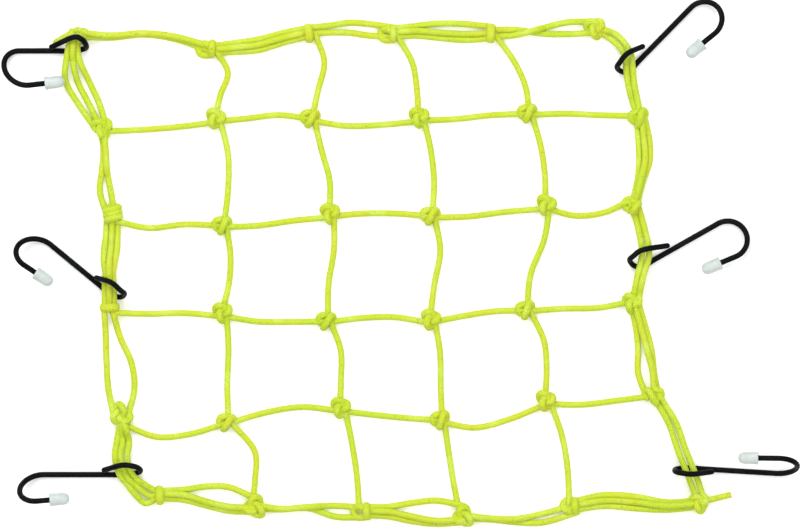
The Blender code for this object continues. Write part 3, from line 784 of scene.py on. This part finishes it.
def frosted_vinyl():
    material, tree = bare_material("frosted_vinyl")
    place = add_node(tree, "ShaderNodeTexCoord")
    clouds = add_node(
        tree, "ShaderNodeTexNoise",
        {"Vector": place.outputs["Object"], "Scale": 1 / CLOUD_SIZE, "Detail": 3.0},
    )
    colour = add_node(
        tree, "ShaderNodeMix",
        {0: clouds.outputs[0], 6: linear(CAP_MILKY), 7: linear(CAP_SHADE)}, data_type="RGBA",
    )
    relief = add_node(
        tree, "ShaderNodeBump", {"Strength": 0.5, "Distance": MOULD_RELIEF, "Height": clouds.outputs[0]}
    )
    shader = add_node(
        tree, "ShaderNodeBsdfPrincipled",
        {
            "Base Color": colour.outputs[2],
            "Roughness": 0.38,
            "IOR": 1.5,
            "Subsurface Weight": 0.25,
            "Subsurface Radius": (1.0, 1.0, 1.0),
            "Subsurface Scale": LIGHT_REACH,
            "Normal": relief.outputs[0],
        },
    )
    add_node(tree, "ShaderNodeOutputMaterial", {"Surface": shader.outputs[0]})
    return material


frosted = frosted_vinyl()
for number, (mouth, back) in enumerate(cap_places, start=1):
    bm = bmesh.new()
    outline = [*CAP_PROFILE, (0.0, CAP_DEPTH), (CAP_BORE, CAP_DEPTH)]
    verts = [bm.verts.new((radius * MM, 0, depth * MM)) for radius, depth in outline]
    # No edge runs down the axis from the tip to the bottom of the bore
    tip = len(CAP_PROFILE) - 1
    after = [*verts[1:], verts[0]]
    edges = [bm.edges.new(pair) for n, pair in enumerate(zip(verts, after)) if n != tip]
    bmesh.ops.spin(
        bm, geom=verts + edges, axis=(0, 0, 1), cent=(0, 0, 0),
        steps=CAP_SIDES, angle=2 * math.pi, use_merge=True,
    )
    bmesh.ops.remove_doubles(bm, verts=bm.verts, dist=0.001 * MM)
    bmesh.ops.recalc_face_normals(bm, faces=bm.faces)
    stand = Vector((0, 0, 1)).rotation_difference(back).to_matrix().to_4x4()
    bm.transform(Matrix.Translation(mouth) @ stand)
    for face in bm.faces:
        face.smooth = True
    add_piece(f"soft_cap_{number}", bm, frosted, "soft_cap", f"cap_{number}")

# The floor, the light and the camera
# The net lies on a plain matt white floor, lit a little from below as on a light table, and
# with a large soft light on each side, so that hardly a shadow shows. It is seen from straight
# above, from far off, so that nothing that stands up is drawn aside.

# The camera's place, and the width of floor that it takes in, in metres
CAMERA_PLACE = (0.0, -0.00075, 6.0)
FRAME_WIDTH = 0.6
SENSOR_WIDTH = 36
FLOOR_WHITE = "#F2F2F0"
FLOOR_GLOW = 0.25
FLOOR_SIDE = 6.0
FLOOR_DROP = 0.2 * MM
SKY_STRENGTH = 0.12
SOFTBOX_SIDE = 2.0
# Each softbox with its place in metres and its power in watts
SOFTBOXES = (
    ("north_softbox", (-0.4, 1.9, 2.2), 60.0),
    ("south_softbox", (0.4, -1.9, 2.2), 28.0),
    ("west_softbox", (-1.9, 0.0, 2.2), 34.0),
    ("east_softbox", (1.9, 0.0, 2.2), 34.0),
)

floor_paint = bpy.data.materials.new("matt_white_paint")
floor_paint.use_nodes = True
painted = floor_paint.node_tree.nodes["Principled BSDF"]
painted.inputs["Base Color"].default_value = linear(FLOOR_WHITE)
painted.inputs["Roughness"].default_value = 0.9
painted.inputs["Emission Strength"].default_value = FLOOR_GLOW
floor_mesh = bpy.data.meshes.new("floor")
half = FLOOR_SIDE / 2
floor_corners = [(-half, -half, 0), (half, -half, 0), (half, half, 0), (-half, half, 0)]
floor_mesh.from_pydata(floor_corners, [], [(0, 1, 2, 3)])
floor_mesh.materials.append(floor_paint)
floor = bpy.data.objects.new("floor", floor_mesh)
floor.location.z = -FLOOR_DROP
bpy.context.scene.collection.objects.link(floor)

for name, place, power in SOFTBOXES:
    lamp = bpy.data.lights.new(name, "AREA")
    lamp.size = SOFTBOX_SIDE
    lamp.energy = power
    light = bpy.data.objects.new(name, lamp)
    light.location = place
    light.rotation_mode = "QUATERNION"
    light.rotation_quaternion = Vector(place).to_track_quat("Z", "Y")
    bpy.context.scene.collection.objects.link(light)

sky = bpy.data.worlds.new("white_studio")
sky.use_nodes = True
background = sky.node_tree.nodes["Background"]
background.inputs["Color"].default_value = (1, 1, 1, 1)
background.inputs["Strength"].default_value = SKY_STRENGTH
bpy.context.scene.world = sky
bpy.context.scene.view_settings.view_transform = "Standard"

lens = bpy.data.cameras.new("camera")
lens.sensor_width = SENSOR_WIDTH
lens.lens = SENSOR_WIDTH * CAMERA_PLACE[2] / FRAME_WIDTH
camera = bpy.data.objects.new("camera", lens)
camera.location = CAMERA_PLACE
bpy.context.scene.collection.objects.link(camera)
bpy.context.scene.camera = camera

bpy.context.view_layer.update()
